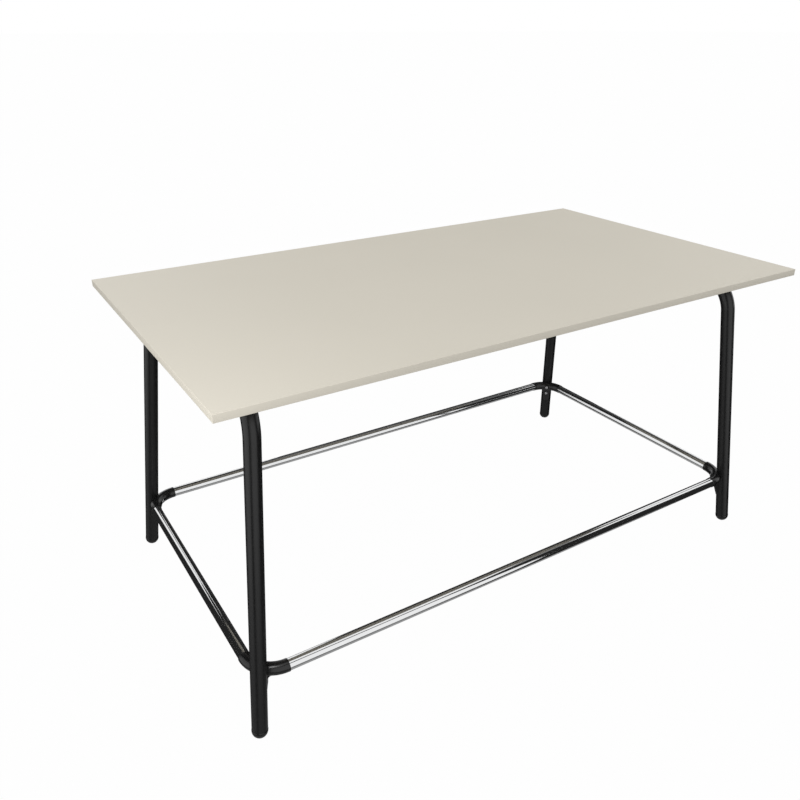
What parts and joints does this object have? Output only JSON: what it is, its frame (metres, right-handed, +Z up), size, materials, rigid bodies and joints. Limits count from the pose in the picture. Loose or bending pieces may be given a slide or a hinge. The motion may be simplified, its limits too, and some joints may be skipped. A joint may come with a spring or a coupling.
{
  "type": "standing meeting table",
  "caption": "Standing-height meeting table: thin rectangular laminate top on splayed black tube leg frames with domed feet, braced by a chrome footrest ring in black corner brackets.",
  "frame": {"origin": "on the floor under the middle of the table top", "axes": "+X along the length of the top, +Y across its width from the front to the back, +Z up"},
  "size_m": [1.8, 1, 0.903],
  "materials": {
    "greige_laminate": "matt warm greige laminate and edging",
    "backing_sheet": "plain matt backing laminate",
    "chipboard": "raw chipboard, hidden by the laminate and edging",
    "black_coat": "satin black powder coat",
    "black_moulding": "satin black moulding",
    "chrome_tube": "bright chrome plate",
    "zinc_steel": "bright zinc-plated steel"
  },
  "bodies": {
    "root": {"core_board": "chipboard", "underside_laminate": "backing_sheet", "top_laminate": "greige_laminate", "edge_band_front": "greige_laminate", "edge_band_back": "greige_laminate", "edge_band_left": "greige_laminate", "edge_band_right": "greige_laminate", "leg_frame_left": "black_coat", "leg_frame_right": "black_coat", "foot_glide_front_left": "black_moulding", "foot_glide_front_right": "black_moulding", "foot_glide_back_left": "black_moulding", "foot_glide_back_right": "black_moulding", "mounting_plate_left_front": "black_coat", "mounting_plate_left_back": "black_coat", "mounting_plate_right_front": "black_coat", "mounting_plate_right_back": "black_coat", "stiffening_rail_front": "black_coat", "stiffening_rail_back": "black_coat", "plate_screw_left_front_inner": "zinc_steel", "plate_screw_left_front_outer": "zinc_steel", "plate_screw_left_back_inner": "zinc_steel", "plate_screw_left_back_outer": "zinc_steel", "plate_screw_right_front_inner": "zinc_steel", "plate_screw_right_front_outer": "zinc_steel", "plate_screw_right_back_inner": "zinc_steel", "plate_screw_right_back_outer": "zinc_steel", "rail_screw_front_1": "zinc_steel", "rail_screw_front_2": "zinc_steel", "rail_screw_front_3": "zinc_steel", "rail_screw_back_1": "zinc_steel", "rail_screw_back_2": "zinc_steel", "rail_screw_back_3": "zinc_steel", "footrest_tube_front": "chrome_tube", "footrest_tube_back": "chrome_tube", "footrest_tube_left": "chrome_tube", "footrest_tube_right": "chrome_tube", "corner_bracket_front_left": "black_moulding", "corner_bracket_front_right": "black_moulding", "corner_bracket_back_left": "black_moulding", "corner_bracket_back_right": "black_moulding", "bracket_screw_front_left_upper": "zinc_steel", "bracket_screw_front_left_lower": "zinc_steel", "bracket_screw_front_right_upper": "zinc_steel", "bracket_screw_front_right_lower": "zinc_steel", "bracket_screw_back_left_upper": "zinc_steel", "bracket_screw_back_left_lower": "zinc_steel", "bracket_screw_back_right_upper": "zinc_steel", "bracket_screw_back_right_lower": "zinc_steel", "rivet_nut_front_left_upper": "zinc_steel", "rivet_nut_front_left_lower": "zinc_steel", "rivet_nut_front_right_upper": "zinc_steel", "rivet_nut_front_right_lower": "zinc_steel", "rivet_nut_back_left_upper": "zinc_steel", "rivet_nut_back_left_lower": "zinc_steel", "rivet_nut_back_right_upper": "zinc_steel", "rivet_nut_back_right_lower": "zinc_steel"}
  },
  "joints": []
}
